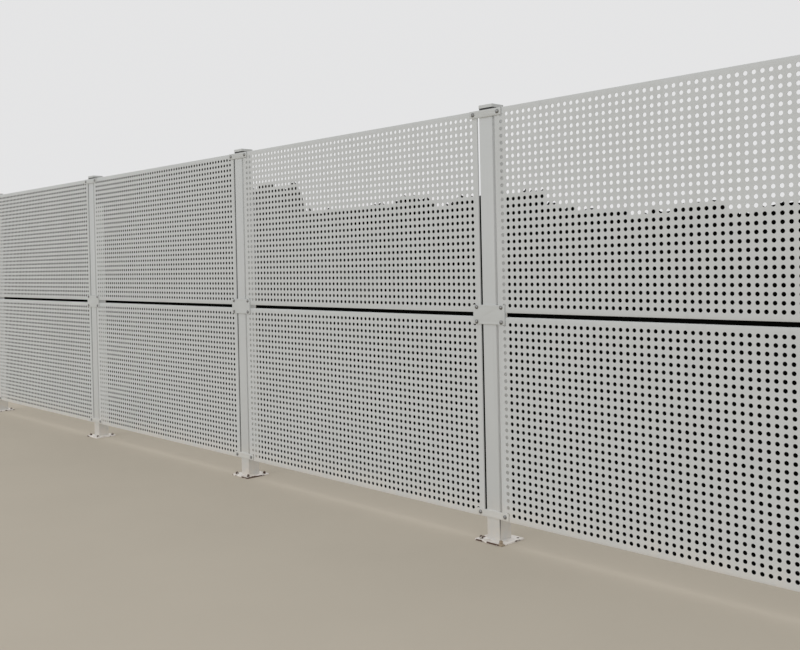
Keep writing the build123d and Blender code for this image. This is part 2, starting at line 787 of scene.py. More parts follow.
def to_mesh(name: str, bm: bmesh.types.BMesh) -> bpy.types.Mesh:
    """Turn a finished bmesh into a mesh and free it.

    Args:
        name: The mesh's name.
        bm: The finished bmesh.

    Returns:
        The mesh.
    """
    mesh = bpy.data.meshes.new(name)
    bm.to_mesh(mesh)
    bm.free()
    return mesh


def stamp(bm: bmesh.types.BMesh, pattern: bpy.types.Mesh, place: Matrix) -> None:
    """Add a copy of a pattern to a mesh.

    Args:
        bm: The mesh to add to.
        pattern: The pattern.
        place: Where the copy goes.
    """
    count = len(bm.verts)
    bm.from_mesh(pattern)
    bm.verts.ensure_lookup_table()
    bmesh.ops.transform(bm, matrix=place, verts=bm.verts[count:])


def add_object(name: str, data: bpy.types.ID) -> bpy.types.Object:
    """Add an object to the scene.

    Args:
        name: The object's name.
        data: Its mesh, camera or light.

    Returns:
        The new object, at the origin.
    """
    made = bpy.data.objects.new(name, data)
    bpy.context.scene.collection.objects.link(made)
    return made


def add_piece(
    name: str, mesh: bpy.types.Mesh, finishes: list[bpy.types.Material]
) -> bpy.types.Object:
    """Add a mesh as a piece that rides with the fence, smooth between its sharp edges.

    Args:
        name: The piece's name.
        mesh: Its mesh, in place.
        finishes: Its materials, in the order of the faces' indices.

    Returns:
        The new object, at the origin.
    """
    for finish in finishes:
        mesh.materials.append(finish)
    mesh.shade_smooth()
    mesh.set_sharp_from_angle(angle=SHARP_ANGLE)
    piece = add_object(name, mesh)
    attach(piece, "root")
    log.info("%s: %d faces", name, len(mesh.polygons))
    return piece


# Sub-assemblies


@dataclass
class PunchedTray:
    """The folded sheet of one panel, with every hole of its field.

    The tray is made flat in the XY plane, its street face up, and then stood upright.

    Args:
        level: Whether it is the lower or the upper panel of a bay.
        bolt_rises: How far its two bolt levels lie from its lower edge.
        pitch: The distance from hole to hole.
        columns: How many holes there are along the field.
        rows: How many holes there are up the field.
        hole_radius: A hole's radius.
        hole_sides: How many sides its outline has.
        sheet: The sheet's thickness.
        fold_radius: The radius of the bends, on their outside.
        edge_return: The depth of the returns along the top and bottom edges.
        side_return: The depth of the returns along the side edges.
        notch: How much the corners are cut back where the returns meet.
        bolt_inset: How far the bolt holes lie from the side edges.
        bolt_hole: The width of the square bolt holes.
        bend_steps: How many steps a bend has.
        merge: How close points of the sheet are that become one.
    """

    level: Level
    bolt_rises: tuple[float, float]
    pitch: float = 40 * MM
    columns: int = 58
    rows: int = 28
    hole_radius: float = 11 * MM
    hole_sides: int = 12
    sheet: float = 2 * MM
    fold_radius: float = 3 * MM
    edge_return: float = 25 * MM
    side_return: float = 8 * MM
    notch: float = 5 * MM
    bolt_inset: float = 27 * MM
    bolt_hole: float = 11 * MM
    bend_steps: int = 3
    merge: float = 0.2 * MM

    def __post_init__(self) -> None:
        """Read the tray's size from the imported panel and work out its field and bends."""
        low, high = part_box(f"{self.level.value}_1")
        self.width, self.height = high.x - low.x, high.z - low.z
        self.field_x, self.field_y = self.columns * self.pitch / 2, self.rows * self.pitch / 2
        self.inner_x, self.inner_y = self.field_x - self.pitch, self.field_y - self.pitch
        self.bend_x, self.bend_y = self.width / 2 - self.fold_radius, self.height / 2 - self.fold_radius

    def add_hole(self, bm: bmesh.types.BMesh, x: float, y: float) -> None:
        """Draw the outline of a round hole."""
        centre = Matrix.Translation((x, y, 0.0))
        bmesh.ops.create_circle(bm, segments=self.hole_sides, radius=self.hole_radius, matrix=centre)

    def flat_field(self, bm: bmesh.types.BMesh) -> None:
        """Fill one square cell round its hole, and repeat it along the rows and up the columns.

        Args:
            bm: The empty mesh.
        """
        x, y = self.pitch / 2 - self.field_x, self.pitch / 2 - self.field_y
        self.add_hole(bm, x, y)
        square = Matrix.Translation((x, y, 0.0)) @ Matrix.Rotation(math.pi / 4, 4, "Z")
        bmesh.ops.create_circle(bm, segments=4, radius=self.pitch / math.sqrt(2), matrix=square)
        bmesh.ops.triangle_fill(bm, edges=bm.edges[:], use_beauty=True)
        for count, step in ((self.columns, (self.pitch, 0.0, 0.0)), (self.rows, (0.0, self.pitch, 0.0))):
            source = bm.verts[:] + bm.edges[:] + bm.faces[:]
            for number in range(1, count):
                copy = bmesh.ops.duplicate(bm, geom=source)["geom"]
                bmesh.ops.translate(bm, verts=verts_in(copy), vec=Vector(step) * number)
        bmesh.ops.remove_doubles(bm, verts=bm.verts[:], dist=self.merge)

    def open_corners(self, bm: bmesh.types.BMesh) -> None:
        """Take out the four corner cells, which the bolt holes reach into.

        Args:
            bm: The flat field.
        """
        middles = [(face, face.calc_center_median()) for face in bm.faces]
        corner = [face for face, at in middles if abs(at.x) > self.inner_x and abs(at.y) > self.inner_y]
        bmesh.ops.delete(bm, geom=corner, context="FACES")

    def side(self, bm: bmesh.types.BMesh, across: Vector, reach: float) -> list[bmesh.types.BMEdge]:
        """Find the sheet's open edges along one of its sides.

        Args:
            bm: The flat sheet.
            across: The direction from the middle to that side.
            reach: How far it lies from the middle.

        Returns:
            The edges.
        """
        open_edges = [edge for edge in bm.edges if edge.is_boundary]
        return [
            edge
            for edge in open_edges
            if all(abs(vert.co.dot(across) - reach) < NEAR for vert in edge.verts)
        ]

    def widen(self, bm: bmesh.types.BMesh, across: Vector, field: float, bend: float) -> None:
        """Carry one side of the field straight out to its bend.

        Args:
            bm: The flat field with open corners.
            across: The direction from the middle to that side.
            field: How far out the field ends.
            bend: How far out the bend starts.
        """
        grown = bmesh.ops.extrude_edge_only(bm, edges=self.side(bm, across, field))["geom"]
        bmesh.ops.translate(bm, verts=verts_in(grown), vec=across * (bend - field))

    def fill_corner(self, bm: bmesh.types.BMesh, sx: int, sy: int) -> None:
        """Fill one corner round its hole, its bolt hole and its notch.

        Args:
            bm: The widened sheet.
            sx: The corner's side along X, -1 or 1.
            sy: Its side along Y, -1 or 1.
        """
        notch_x, notch_y = self.width / 2 - self.notch, self.height / 2 - self.notch
        line = [
            (self.bend_x, self.inner_y),
            (self.bend_x, notch_y),
            (notch_x, notch_y),
            (notch_x, self.bend_y),
            (self.inner_x, self.bend_y),
        ]
        add_line(bm, [(sx * x, sy * y) for x, y in line], closed=False)
        self.add_hole(bm, sx * (self.field_x - self.pitch / 2), sy * (self.field_y - self.pitch / 2))
        x, y = sx * (self.width / 2 - self.bolt_inset), self.bolt_rises[sy > 0] - self.height / 2
        half = self.bolt_hole / 2
        left, right, foot, top = x - half, x + half, y - half, y + half
        add_line(bm, [(left, foot), (right, foot), (right, top), (left, top)])
        bmesh.ops.remove_doubles(bm, verts=bm.verts[:], dist=self.merge)
        ring = [
            edge
            for edge in bm.edges
            if (edge.is_boundary or edge.is_wire)
            and all(vert.co.x * sx > self.inner_x - NEAR for vert in edge.verts)
            and all(vert.co.y * sy > self.inner_y - NEAR for vert in edge.verts)
        ]
        bmesh.ops.triangle_fill(bm, edges=ring, use_beauty=True)

    def fold(self, bm: bmesh.types.BMesh, across: Vector, reach: float, depth: float) -> None:
        """Bend one side of the web back and give it its return.

        Args:
            bm: The flat sheet.
            across: The direction from the middle to that side.
            reach: How far the bend's start lies from the middle.
            depth: The whole depth of the return.
        """
        line = self.side(bm, across, reach)
        bent = bmesh.ops.spin(
            bm,
            geom=line + list({vert for edge in line for vert in edge.verts}),
            cent=across * reach - UP * self.fold_radius,
            axis=UP.cross(across),
            angle=math.pi / 2,
            steps=self.bend_steps,
            use_merge=False,
            use_duplicate=False,
        )["geom_last"]
        straight = bmesh.ops.extrude_edge_only(bm, edges=edges_in(bent))["geom"]
        bmesh.ops.translate(bm, verts=verts_in(straight), vec=UP * (self.fold_radius - depth))

    def mesh(self, coat: bpy.types.Material, shaded_cut_edge: bpy.types.Material) -> bpy.types.Mesh:
        """Make the whole upright tray about its own centre, its street face at y = 0.

        Args:
            coat: The finish of its faces.
            shaded_cut_edge: The darker finish of its cut edges and of the walls of its holes, painted shade.

        Returns:
            The tray's mesh.
        """
        bm = bmesh.new()
        self.flat_field(bm)
        self.open_corners(bm)
        for sign in (-1, 1):
            self.widen(bm, Vector((sign, 0, 0)), self.field_x, self.bend_x)
        for sign in (-1, 1):
            self.widen(bm, Vector((0, sign, 0)), self.field_y, self.bend_y)
        for sx in (-1, 1):
            for sy in (-1, 1):
                self.fill_corner(bm, sx, sy)
        for sign in (-1, 1):
            self.fold(bm, Vector((0, sign, 0)), self.bend_y, self.edge_return)
            self.fold(bm, Vector((sign, 0, 0)), self.bend_x, self.side_return)
        bmesh.ops.recalc_face_normals(bm, faces=bm.faces[:])
        face_towards(bm, bm.faces[:], UP)
        bmesh.ops.rotate(bm, verts=bm.verts[:], cent=(0, 0, 0), matrix=Matrix.Rotation(math.pi / 2, 3, "X"))
        flat = to_mesh("flat_tray", bm)
        for finish in (coat, shaded_cut_edge):
            flat.materials.append(finish)
        return self.thickened(flat)

    def thickened(self, flat: bpy.types.Mesh) -> bpy.types.Mesh:
        """Give the sheet its thickness behind its street face.

        Args:
            flat: The tray without thickness, which is used up.

        Returns:
            The tray, its cut edges in its second material.
        """
        holder = add_object("tray_holder", flat)
        skin = holder.modifiers.new("sheet", "SOLIDIFY")
        skin.thickness = self.sheet
        skin.offset = -1
        skin.use_even_offset = True
        skin.material_offset_rim = 1
        made = bpy.data.meshes.new_from_object(holder.evaluated_get(bpy.context.evaluated_depsgraph_get()))
        bpy.data.objects.remove(holder)
        bpy.data.meshes.remove(flat)
        return made

    def hang(self, pattern: bpy.types.Mesh, bay: int) -> bpy.types.Object:
        """Place a copy of the tray in a bay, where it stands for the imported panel.

        Args:
            pattern: The mesh that mesh() made.
            bay: The bay's number.

        Returns:
            The placed tray.
        """
        node = f"{self.level.value}_{bay}"
        low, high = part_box(node)
        copy = pattern.copy()
        copy.transform(Matrix.Translation(((low.x + high.x) / 2, low.y, (low.z + high.z) / 2)))
        piece = add_piece(f"punched_{node}", copy, [])
        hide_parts(node)
        return piece


@dataclass
class SoftenedSolid:
    """A copy of a packed plate or tube with its cut edges broken.

    Args:
        node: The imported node.
        width: How wide the edges are broken.
        segments: How many steps round them.
        merge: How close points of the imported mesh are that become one.
        flat_angle: How far two triangles of one face may be turned to each other.
        edge_angle: How far two faces are turned to each other where an edge is broken.
    """

    node: str
    width: float = 0.8 * MM
    segments: int = 2
    merge: float = 0.01 * MM
    flat_angle: float = math.radians(1)
    edge_angle: float = math.radians(40)

    def build(self, finish: bpy.types.Material, slot: Slot) -> bpy.types.Object:
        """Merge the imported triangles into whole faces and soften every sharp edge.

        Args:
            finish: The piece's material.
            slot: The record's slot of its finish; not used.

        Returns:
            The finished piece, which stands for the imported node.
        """
        bm = bmesh.new()
        bm.from_mesh(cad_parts[self.node].data)
        bmesh.ops.remove_doubles(bm, verts=bm.verts[:], dist=self.merge)
        bmesh.ops.dissolve_limit(bm, angle_limit=self.flat_angle, verts=bm.verts[:], edges=bm.edges[:])
        bm.normal_update()
        sharp = [edge for edge in bm.edges if abs(edge.calc_face_angle(0.0)) > self.edge_angle]
        soften(bm, sharp, self.width, self.segments)
        piece = add_piece(f"soft_{self.node}", to_mesh(self.node, bm), [finish])
        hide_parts(self.node)
        return piece


@dataclass
class CoachBolt:
    """A dome-headed bolt on a near-black seal that paints the shade under its head, with its square neck,
    washer and nut.

    Its axis is Z, its head is up and its seal lies at the origin.

    Args:
        shade_seal_radius: The seal's radius.
        shade_seal_height: How thick the seal is.
        head_radius: The dome's radius at its foot.
        head_height: How high the dome is.
        head_rings: How many steps the dome has from its top to its foot.
        shank_radius: The shank's radius.
        neck: The width of the square neck.
        neck_length: How far the neck reaches into the plates.
        grip: How thick the clamped plates are together.
        tail: How far the shank stands out behind the nut.
        washer_radius: The washer's radius.
        washer_thickness: The washer's thickness.
        nut_radius: The nut's radius, out to its corners.
        nut_height: The nut's height.
        sides: How many sides the round parts have.
        merge: How close points of the dome are that become one.
    """

    shade_seal_radius: float = 11.4 * MM
    shade_seal_height: float = 2.2 * MM
    head_radius: float = 12 * MM
    head_height: float = 5.4 * MM
    head_rings: int = 5
    shank_radius: float = 5 * MM
    neck: float = 10.6 * MM
    neck_length: float = 7 * MM
    grip: float = 8 * MM
    tail: float = 9 * MM
    washer_radius: float = 11 * MM
    washer_thickness: float = 2 * MM
    nut_radius: float = 9.8 * MM
    nut_height: float = 8 * MM
    sides: int = 20
    merge: float = 0.02 * MM

    def add_head(self, bm: bmesh.types.BMesh) -> None:
        """Spin the dome's profile into a head on the seal, closed underneath.

        Args:
            bm: The empty mesh.
        """
        curve = (self.head_radius**2 + self.head_height**2) / (2 * self.head_height)
        sweep = math.asin(self.head_radius / curve)
        angles = [sweep * ring / self.head_rings for ring in range(self.head_rings + 1)]
        top = self.shade_seal_height + self.head_height
        rises = [top - curve * (1 - math.cos(angle)) for angle in angles]
        profile = [bm.verts.new((curve * math.sin(angle), 0, rise)) for angle, rise in zip(angles, rises)]
        profile.append(bm.verts.new((0, 0, self.shade_seal_height)))
        bmesh.ops.spin(
            bm,
            geom=profile + [bm.edges.new(pair) for pair in zip(profile, profile[1:])],
            cent=(0, 0, 0),
            axis=UP,
            angle=2 * math.pi,
            steps=self.sides,
            use_merge=True,
            use_duplicate=False,
        )
        bmesh.ops.remove_doubles(bm, verts=bm.verts[:], dist=self.merge)
        bmesh.ops.recalc_face_normals(bm, faces=bm.faces[:])

    def mesh(self) -> bpy.types.Mesh:
        """Make the bolt with its seal, washer and nut.

        Returns:
            The mesh; the seal's faces have the second material, the near-black one that paints the shade
            under the head.
        """
        bm = bmesh.new()
        self.add_head(bm)
        give_second_finish(add_drum(bm, self.sides, self.shade_seal_radius, 0, self.shade_seal_height))
        half = self.neck / 2
        add_block(bm, Vector((-half, -half, -self.neck_length)), Vector((half, half, 0)))
        washer_foot = -self.grip - self.washer_thickness
        nut_foot = washer_foot - self.nut_height
        add_drum(bm, self.sides, self.shank_radius, nut_foot - self.tail, -self.neck_length)
        add_drum(bm, self.sides, self.washer_radius, washer_foot, -self.grip)
        add_drum(bm, HEXAGON, self.nut_radius, nut_foot, washer_foot)
        return to_mesh("coach_bolt", bm)


@dataclass
class Anchor:
    """A threaded stud with its washer and nut, standing on a base plate; its axis is Z.

    Args:
        plate: The height of the plate's upper face.
        stud_radius: The stud's radius.
        stud_rise: How far the stud stands out of the plate.
        stud_foot: The height of its lower end, inside the plate.
        stud_sides: How many sides the stud has.
        nut_radius: The nut's radius, out to its corners.
        nut_height: The nut's height.
        washer_radius: The washer's radius.
        washer_thickness: The washer's thickness.
        washer_sides: How many sides the washer has.
        chamfer: How much the ends of stud and nut are rounded over.
        chamfer_steps: How many steps that rounding has.
    """

    plate: float
    stud_radius: float = 6 * MM
    stud_rise: float = 17 * MM
    stud_foot: float = 2 * MM
    stud_sides: int = 14
    nut_radius: float = 10.9 * MM
    nut_height: float = 10 * MM
    washer_radius: float = 12 * MM
    washer_thickness: float = 2.5 * MM
    washer_sides: int = 20
    chamfer: float = 1 * MM
    chamfer_steps: int = 2

    def mesh(self) -> bpy.types.Mesh:
        """Make the anchor.

        Returns:
            The mesh, with the ground at the origin.
        """
        bm = bmesh.new()
        nut_foot = self.plate + self.washer_thickness
        nut_top = nut_foot + self.nut_height
        top = self.plate + self.stud_rise
        add_drum(bm, self.stud_sides, self.stud_radius, self.stud_foot, top)
        add_drum(bm, self.washer_sides, self.washer_radius, self.plate, nut_foot)
        add_drum(bm, HEXAGON, self.nut_radius, nut_foot, nut_top)
        soften(bm, rim_at(bm, top) + rim_at(bm, nut_top), self.chamfer, self.chamfer_steps)
        return to_mesh("anchor", bm)


@dataclass
class WeldBead:
    """A rippled fillet weld along a straight seam between two faces.

    Args:
        leg: How far the bead reaches along each face.
        ripple: The length of one ripple.
        arc_steps: How many steps its rounded face has.
        least_steps: The fewest steps along the seam.
        swell: How much a ripple adds to the bead's size and takes from it, as a share.
        hollow: How much smaller it is in the middle of its face, as a share.
        stub: How large its very ends are, as a share.
        run_out: How fast it grows from there, as a share over the seam's length.
    """

    leg: float = 5 * MM
    ripple: float = 3 * MM
    arc_steps: int = 4
    least_steps: int = 4
    swell: float = 0.09
    hollow: float = 0.1
    stub: float = 0.25
    run_out: float = 12.0

    def add_to(self, bm: bmesh.types.BMesh, start: Vector, end: Vector, out: Vector, up: Vector) -> None:
        """Lay a bead in the corner between two faces.

        Args:
            bm: The mesh to add to.
            start: One end of the seam.
            end: Its other end.
            out: The direction away from one face.
            up: The direction away from the other face.
        """
        along = end - start
        steps = max(self.least_steps, round(along.length / self.ripple) * 2)
        grid = bmesh.ops.create_grid(bm, x_segments=steps, y_segments=self.arc_steps, size=0.5)["verts"]
        for vert in grid:
            share, angle = vert.co.x + 0.5, (vert.co.y + 0.5) * math.pi / 2
            ripples, sinks = math.cos(share * steps * math.pi), math.sin(2 * angle)
            taper = min(1.0, self.run_out * min(share, 1 - share) + self.stub)
            reach = self.leg * (1.0 + self.swell * ripples - self.hollow * sinks) * taper
            seam = start + along * share
            vert.co = seam + out * (reach * math.cos(angle)) + up * (reach * math.sin(angle))
        face_towards(bm, faces_round(grid), out + up)


@dataclass
class PostCap:
    """A lid with rounded edges over a narrower near-black neck that paints the shade under the lid, with a
    hollow spigot in the tube.

    Args:
        post: The post's number.
        neck_height: The neck's height.
        lid_height: The lid's height.
        neck_inset: How far the neck stands back under the lid.
        spigot_inset: How far the spigot stands back.
        corner: How much the lid's upright edges are rounded over.
        corner_steps: How many steps that rounding has.
        rim: How much its upper rim is rounded over.
        rim_steps: How many steps that rounding has.
    """

    post: int
    neck_height: float = 11 * MM
    lid_height: float = 19 * MM
    neck_inset: float = 4 * MM
    spigot_inset: float = 7 * MM
    corner: float = 6 * MM
    corner_steps: int = 5
    rim: float = 3.5 * MM
    rim_steps: int = 4

    def build(self, lid_finish: bpy.types.Material, neck_shade_finish: bpy.types.Material) -> bpy.types.Object:
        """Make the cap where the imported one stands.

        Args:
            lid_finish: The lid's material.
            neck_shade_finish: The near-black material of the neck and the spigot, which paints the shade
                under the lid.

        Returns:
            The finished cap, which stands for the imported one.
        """
        low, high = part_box(f"post_cap_{self.post}")
        lid_foot = high.z - self.lid_height
        neck_foot = lid_foot - self.neck_height
        bm = bmesh.new()
        add_block(bm, Vector((low.x, low.y, lid_foot)), high)
        uprights = [edge for edge in bm.edges if abs(edge.verts[0].co.z - edge.verts[1].co.z) > NEAR]
        soften(bm, uprights, self.corner, self.corner_steps)
        soften(bm, rim_at(bm, high.z), self.rim, self.rim_steps)
        for inset, foot, top in (
            (self.neck_inset, neck_foot, lid_foot),
            (self.spigot_inset, low.z, neck_foot),
        ):
            edge = Vector((inset, inset, 0))
            near, far = Vector((low.x, low.y, foot)) + edge, Vector((high.x, high.y, top)) - edge
            give_second_finish(add_block(bm, near, far))
        piece = add_piece(f"cap_{self.post}", to_mesh("cap", bm), [lid_finish, neck_shade_finish])
        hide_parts(f"post_cap_{self.post}")
        return piece


@dataclass
class PostDressing:
    """The small parts round one post: bolts, anchors and welds.

    Args:
        post: The post's number.
        bolt_inset: How far the bolts lie from the panels' side edges.
        slot_bolt_inset: How far the middle bolts lie from the panels' edges at the slot.
        anchor_spacing: The distance from anchor to anchor.
        missing_anchor: The one anchor that was never set: its post, and its side along X and Y.
        turn_by_corner: How much further each nut is turned than the one before it, in degrees.
        turn_by_post: How much further it is turned than at the post before, in degrees.
        weld_corner: How far the welds stop from the post's corners.
        stitch_leg: How large the clamps' welds are.
    """

    post: int
    bolt_inset: float = 27 * MM
    slot_bolt_inset: float = 29.5 * MM
    anchor_spacing: float = 150 * MM
    missing_anchor: tuple[int, int, int] = (4, 1, 1)
    turn_by_corner: int = 17
    turn_by_post: int = 23
    weld_corner: float = 4 * MM
    stitch_leg: float = 3 * MM

    def __post_init__(self) -> None:
        """Read the post's own box."""
        self.low, self.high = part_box(f"post_{self.post}")
        self.middle = (self.low + self.high) / 2

    def anchor_place(self, sx: int, sy: int) -> Vector:
        """The middle of the anchor hole at one corner of the base plate, on the ground."""
        half = self.anchor_spacing / 2
        return Vector((self.middle.x + sx * half, self.middle.y + sy * half, 0.0))

    def middle_height(self, clamp: Clamp) -> float:
        """The height of the middle of one of the post's clamps."""
        low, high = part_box(f"{clamp.value}_{self.post}")
        return (low.z + high.z) / 2

    def bolt_heights(self) -> tuple[float, float, float, float]:
        """Find the height of each bolt level.

        Returns:
            The heights, from the ground up.
        """
        return (
            self.middle_height(Clamp.BOTTOM),
            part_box("lower_panel_1")[1].z - self.slot_bolt_inset,
            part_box("upper_panel_1")[0].z + self.slot_bolt_inset,
            self.middle_height(Clamp.TOP),
        )

    def bolts(self, pattern: bpy.types.Mesh, finishes: list[bpy.types.Material]) -> bpy.types.Object:
        """Set every clamp bolt of this post that holds a panel.

        Args:
            pattern: One bolt.
            finishes: The materials of the bolt and of its seal; the seal's near-black one paints the shade
                under the head.

        Returns:
            The bolts as one piece.
        """
        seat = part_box(f"top_clamp_{self.post}")[0].y
        columns = []
        if self.post > 1:
            columns.append(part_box(f"lower_panel_{self.post - 1}")[1].x - self.bolt_inset)
        if self.post < POST_COUNT:
            columns.append(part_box(f"lower_panel_{self.post}")[0].x + self.bolt_inset)
        bm = bmesh.new()
        for x in columns:
            for z in self.bolt_heights():
                stamp(bm, pattern, Matrix.Translation((x, seat, z)) @ Matrix.Rotation(math.pi / 2, 4, "X"))
        return add_piece(f"clamp_bolts_{self.post}", to_mesh("bolts", bm), finishes)

    def anchors(self, pattern: bpy.types.Mesh, finish: bpy.types.Material) -> bpy.types.Object:
        """Set the anchors that are there, each nut turned its own way.

        Args:
            pattern: One anchor.
            finish: Its material.

        Returns:
            The anchors as one piece.
        """
        bm = bmesh.new()
        for number, (sx, sy) in enumerate(((-1, -1), (1, -1), (1, 1), (-1, 1))):
            if (self.post, sx, sy) == self.missing_anchor:
                continue
            turn = math.radians(self.turn_by_corner * number + self.turn_by_post * self.post)
            place = Matrix.Translation(self.anchor_place(sx, sy))
            stamp(bm, pattern, place @ Matrix.Rotation(turn, 4, "Z"))
        return add_piece(f"anchors_{self.post}", to_mesh("anchors", bm), [finish])

    def welds(self, finish: bpy.types.Material) -> bpy.types.Object:
        """Lay the beads round the post's foot and along the clamps' free edges.

        Args:
            finish: Their material.

        Returns:
            The beads as one piece.
        """
        bm = bmesh.new()
        bead, stitch = WeldBead(), WeldBead(leg=self.stitch_leg)
        foot = self.low.z
        left, right = self.low.x + self.weld_corner, self.high.x - self.weld_corner
        near, far = self.low.y + self.weld_corner, self.high.y - self.weld_corner
        for sign, x, y in ((-1, self.low.x, self.low.y), (1, self.high.x, self.high.y)):
            bead.add_to(bm, Vector((left, y, foot)), Vector((right, y, foot)), Vector((0, sign, 0)), UP)
            bead.add_to(bm, Vector((x, near, foot)), Vector((x, far, foot)), Vector((sign, 0, 0)), UP)
        for clamp in Clamp:
            for z, away in zip((corner.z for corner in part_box(f"{clamp.value}_{self.post}")), (-UP, UP)):
                if z < self.high.z - NEAR:
                    ends = Vector((left, self.low.y, z)), Vector((right, self.low.y, z))
                    stitch.add_to(bm, *ends, TO_STREET, away)
        return add_piece(f"welds_{self.post}", to_mesh("welds", bm), [finish])


# Studio


@dataclass(frozen=True)
class PhotoCamera:
    """The camera that took the photo, solved from the lattice of holes.

    Args:
        place: Where it stands.
        yaw: How far it is turned from +Y towards +X, in degrees.
        pitch: How far it looks up, in degrees.
        roll: How far it is turned clockwise, in degrees.
        focal_pixels: Its focal length, in pixels of the image.
        axis_pixel: The pixel that it looks straight at.
        image: The image's width and height, in pixels.
        sensor: The width of its sensor, in millimetres.
        far_clip: How far it sees.
    """

    place: Triple = (6.084, -4.179, 1.620)
    yaw: float = -47.17
    pitch: float = -0.59
    roll: float = -1.22
    focal_pixels: float = 945.3
    axis_pixel: tuple[float, float] = (384.8, 272.4)
    image: tuple[int, int] = (800, 650)
    sensor: float = 36.0
    far_clip: float = 500.0

    def build(self) -> bpy.types.Object:
        """Add the camera and make it the scene's.

        Returns:
            The camera.
        """
        yaw, pitch, roll = (math.radians(angle) for angle in (self.yaw, self.pitch, self.roll))
        forward = Vector((math.sin(yaw) * math.cos(pitch), math.cos(yaw) * math.cos(pitch), math.sin(pitch)))
        level = Vector((math.cos(yaw), -math.sin(yaw), 0.0))
        above = level.cross(forward)
        right = level * math.cos(roll) + above * math.sin(roll)
        up = above * math.cos(roll) - level * math.sin(roll)
        camera = bpy.data.cameras.new("photo_camera")
        camera.sensor_width = self.sensor
        camera.lens = self.focal_pixels * self.sensor / self.image[0]
        camera.shift_x = (self.image[0] / 2 - self.axis_pixel[0]) / self.image[0]
        camera.shift_y = -(self.image[1] / 2 - self.axis_pixel[1]) / self.image[0]
        camera.clip_end = self.far_clip
        holder = add_object("photo_camera", camera)
        turn = Matrix((right, up, -forward)).transposed().to_4x4()
        holder.matrix_world = Matrix.Translation(self.place) @ turn
        bpy.context.scene.camera = holder
        return holder


@dataclass(frozen=True)
class PaleStudio:
    """The plain pale surroundings.

    Args:
        colour: Their colour.
    """

    colour: Colour = (0.78, 0.78, 0.785)

    def build(self) -> bpy.types.World:
        """Make the studio's world the scene's.

        Returns:
            The world.
        """
        world = bpy.data.worlds.new("studio")
        world.use_nodes = True
        NodeBench(world.node_tree).feed(world.node_tree.nodes["Background"].inputs["Color"], self.colour)
        bpy.context.scene.world = world
        return world


@dataclass(frozen=True)
class Floor:
    """The plain pale floor.

    Args:
        colour: Its colour.
        lighter: How much lighter it is in places, as a factor.
        clouds: Where it is lighter.
        roughness: Its roughness.
        reach: How far it goes from the origin.
    """

    colour: Colour = (0.535, 0.485, 0.405)
    lighter: float = 1.03
    clouds: Patches = Patches(0.8, 5.0, 0.3, 0.7)
    roughness: float = 0.9
    reach: float = 40.0

    def build(self) -> bpy.types.Object:
        """Lay the floor.

        Returns:
            The floor.
        """
        bm = bmesh.new()
        bmesh.ops.create_grid(bm, x_segments=1, y_segments=1, size=self.reach)
        surface = Surface("floor")
        lighter = tuple(channel * self.lighter for channel in self.colour)
        colour = surface.mix(surface.patches(self.clouds), self.colour, lighter)
        surface.shader.inputs["Specular IOR Level"].default_value = 0.0
        mesh = to_mesh("floor", bm)
        mesh.materials.append(surface.finish(colour, self.roughness))
        piece = add_object("floor", mesh)
        return piece


@dataclass(frozen=True)
class DarkScreen:
    """A dark screen behind the fence, before which the holes read black from the street.

    It has a street face only, so it doesn't hide the fence's back, and it shades nothing.

    Args:
        name: The screen's name.
        place: How far back it stands.
        foot: The height of its lower edge.
        crest: The run of its top, as places along the fence and heights.
        highest: The most that its top may reach.
        ragged: How far the top wanders up and down.
        ripple: How many times a metre it does so.
        smoothness: How much weaker each finer layer of its wandering is.
        finer: How many times as fine each layer is as the one before.
        layers: How many layers there are.
        cuts: How finely each run of the top is divided.
        colour: The screen's colour.
    """

    name: str
    place: float
    foot: float
    crest: tuple[tuple[float, float], ...]
    highest: float
    ragged: float = 0.0
    ripple: float = 2.5
    smoothness: float = 0.5
    finer: float = 2.0
    layers: int = 6
    cuts: int = 120
    colour: Colour = (0.003, 0.0033, 0.0028)

    def mesh(self) -> bpy.types.Mesh:
        """Draw the top, let it wander and carry it down to the foot.

        Returns:
            The screen's mesh, its faces towards the street.
        """
        bm = bmesh.new()
        corners = [bm.verts.new((x, self.place, z)) for x, z in self.crest]
        runs = [bm.edges.new(pair) for pair in zip(corners, corners[1:])]
        bmesh.ops.subdivide_edges(bm, edges=runs, cuts=self.cuts)
        for vert in bm.verts:
            wander = noise.fractal(vert.co * self.ripple, self.smoothness, self.finer, self.layers)
            vert.co.z = min(self.highest, vert.co.z + self.ragged * wander)
        hem = bmesh.ops.extrude_edge_only(bm, edges=bm.edges[:])["geom"]
        for vert in verts_in(hem):
            vert.co.z = self.foot
        face_towards(bm, bm.faces[:], TO_STREET)
        return to_mesh(self.name, bm)

    def material(self) -> bpy.types.Material:
        """Make a dull dark face whose other side is clear.

        Returns:
            The finished material.
        """
        cloth = Surface(self.name)
        cloth.shader.inputs["Specular IOR Level"].default_value = 0.0
        made = cloth.finish(self.colour, 1.0)
        sides = cloth.node("ShaderNodeMixShader")
        cloth.feed(sides.inputs[0], cloth.node("ShaderNodeNewGeometry").outputs["Backfacing"])
        cloth.feed(sides.inputs[1], cloth.shader.outputs["BSDF"])
        cloth.feed(sides.inputs[2], cloth.node("ShaderNodeBsdfTransparent").outputs["BSDF"])
        cloth.feed(cloth.tree.nodes["Material Output"].inputs["Surface"], sides.outputs["Shader"])
        return made

    def build(self) -> bpy.types.Object:
        """Hang the screen, hidden from diffuse, glossy and shadow rays.

        Returns:
            The screen.
        """
        mesh = self.mesh()
        mesh.materials.append(self.material())
        piece = add_object(self.name, mesh)
        piece.visible_diffuse = piece.visible_glossy = piece.visible_shadow = False
        return piece


# How high the backing of a whole bay reaches, under the upper panels' top fold, and how far along
WHOLE_HEIGHT = 2.47
BAY_REACH = 2.41


